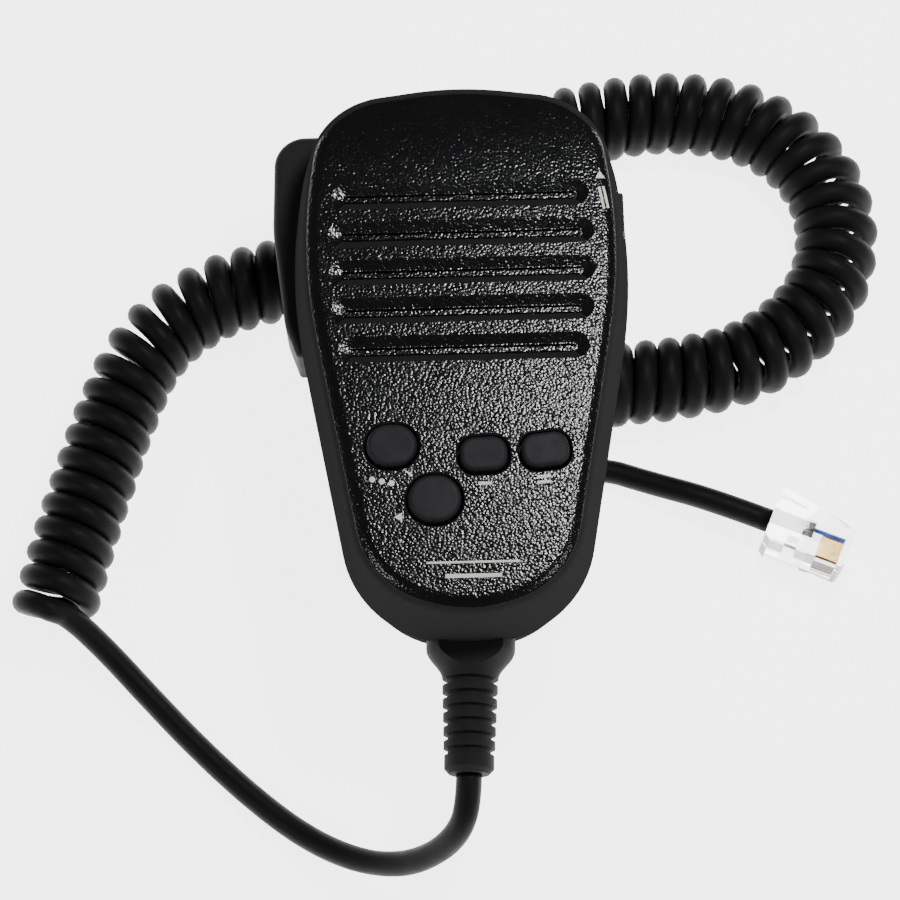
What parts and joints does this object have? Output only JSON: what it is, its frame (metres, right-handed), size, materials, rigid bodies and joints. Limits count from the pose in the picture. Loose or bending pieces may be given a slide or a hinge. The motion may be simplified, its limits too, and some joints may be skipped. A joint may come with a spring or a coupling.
{
  "type": "hand microphone",
  "caption": "Palm-sized black hand microphone with a slotted grille, face keys, a side talk key and a ribbed strain relief, lying on its curly cord that ends in a clear modular plug.",
  "frame": {"origin": "middle of the handset's box, without the strain relief, cord and plug", "axes": "+X to the right of the face, +Y along the handset towards the grille end, +Z out of the face; the part lies face up on its cord"},
  "size_m": [0.1317, 0.1248, 0.0396],
  "materials": {
    "case_plastic": "coarse leathery spark-eroded grain, semi-matte black",
    "talk_key_plastic": "fine matte black",
    "key_plastic": "smooth dark grey, slightly satin",
    "switch_plastic": "moulded black",
    "plunger_plastic": "ivory, moulded",
    "steel": "bright zinc",
    "stud_steel": "nickel plated, satin",
    "board_laminate": "green solder mask",
    "chip_plastic": "black epoxy",
    "chip_ceramic": "tan ceramic with tinned ends",
    "cloth": "fine black weave",
    "boot_rubber": "soft black",
    "capsule_metal": "satin",
    "header_plastic": "white moulded",
    "core_plastic": "blue wire insulation",
    "cord_rubber": "satin black",
    "relief_rubber": "matte black",
    "clear_plastic": "clear, polished",
    "contact_gold": "gold plated",
    "jacket_plastic": "dark grey"
  },
  "bodies": {
    "handset": {"front_shell": "case_plastic", "rear_shell": "case_plastic", "case_screws": "steel", "talk_key_pin": "steel", "talk_key_spring": "steel", "talk_switch": "switch_plastic", "key_switches": "switch_plastic", "channel_switches": "switch_plastic", "lock_switch": "switch_plastic", "circuit_board": "board_laminate", "board_screws": "steel", "control_chip": "chip_plastic", "small_parts": "chip_ceramic", "grille_cloth": "cloth", "capsule_boot": "boot_rubber", "microphone_capsule": "capsule_metal", "cord_header": "header_plastic", "cord_cores": "core_plastic", "cord_inner_end": "cord_rubber", "cord_clamp": "steel", "clamp_screws": "steel", "hang_up_stud": "stud_steel", "stud_screw": "steel", "strain_relief": "relief_rubber", "cord_lead": "cord_rubber", "curly_cord_left": "cord_rubber", "curly_cord_under": "cord_rubber", "curly_cord_loop": "cord_rubber", "curly_cord_end": "cord_rubber", "cord_tail": "cord_rubber", "plug_body": "clear_plastic", "plug_latch": "clear_plastic", "plug_contacts": "contact_gold", "plug_jacket": "jacket_plastic", "plug_cores": "core_plastic"},
    "talk_key_body": {"talk_key": "talk_key_plastic"},
    "talk_plunger_body": {"talk_switch_plunger": "plunger_plastic"},
    "round_key_upper_body": {"round_key_upper": "key_plastic", "round_key_upper_plunger": "plunger_plastic"},
    "round_key_lower_body": {"round_key_lower": "key_plastic", "round_key_lower_plunger": "plunger_plastic"},
    "oblong_key_left_body": {"oblong_key_left": "key_plastic", "oblong_key_left_plunger": "plunger_plastic"},
    "oblong_key_right_body": {"oblong_key_right": "key_plastic", "oblong_key_right_plunger": "plunger_plastic"},
    "channel_key_left_body": {"channel_key_left": "key_plastic", "channel_key_left_plunger": "plunger_plastic"},
    "channel_key_right_body": {"channel_key_right": "key_plastic", "channel_key_right_plunger": "plunger_plastic"},
    "lock_slider_body": {"lock_slider": "key_plastic", "lock_actuator": "plunger_plastic"}
  },
  "joints": [
    {"name": "talk_key_press", "type": "hinge", "parent": "handset", "child": "talk_key_body", "pos_m": [-0.0177, 0.0045, -0.00225], "axis": [0, 0, -1], "range_deg": [0, 3.5], "stiffness_Nm_per_rad": 0.15, "springref_deg": -5.73, "deforming": ["talk_key_spring"]},
    {"name": "talk_switch_plunge", "type": "slide", "parent": "handset", "child": "talk_plunger_body", "axis": [1, 0, 0], "range_m": [0, 0.0011]},
    {"name": "round_key_upper_press", "type": "slide", "parent": "handset", "child": "round_key_upper_body", "axis": [0, 0, -1], "range_m": [0, 0.0006], "stiffness_N_per_m": 1500, "springref_m": -0.0006},
    {"name": "round_key_lower_press", "type": "slide", "parent": "handset", "child": "round_key_lower_body", "axis": [0, 0, -1], "range_m": [0, 0.0006], "stiffness_N_per_m": 1500, "springref_m": -0.0006},
    {"name": "oblong_key_left_press", "type": "slide", "parent": "handset", "child": "oblong_key_left_body", "axis": [0, 0, -1], "range_m": [0, 0.0006], "stiffness_N_per_m": 1500, "springref_m": -0.0006},
    {"name": "oblong_key_right_press", "type": "slide", "parent": "handset", "child": "oblong_key_right_body", "axis": [0, 0, -1], "range_m": [0, 0.0006], "stiffness_N_per_m": 1500, "springref_m": -0.0006},
    {"name": "channel_key_left_press", "type": "slide", "parent": "handset", "child": "channel_key_left_body", "axis": [0, -1, 0], "range_m": [0, 0.0005], "stiffness_N_per_m": 1500, "springref_m": -0.0006},
    {"name": "channel_key_right_press", "type": "slide", "parent": "handset", "child": "channel_key_right_body", "axis": [0, -1, 0], "range_m": [0, 0.0005], "stiffness_N_per_m": 1500, "springref_m": -0.0006},
    {"name": "lock_slide", "type": "slide", "parent": "handset", "child": "lock_slider_body", "axis": [0, 1, 0], "range_m": [0, 0.0024]}
  ],
  "couplings": [
    {"joint": "talk_switch_plunge", "follows": "talk_key_press", "m_per_rad": 0.0175}
  ]
}
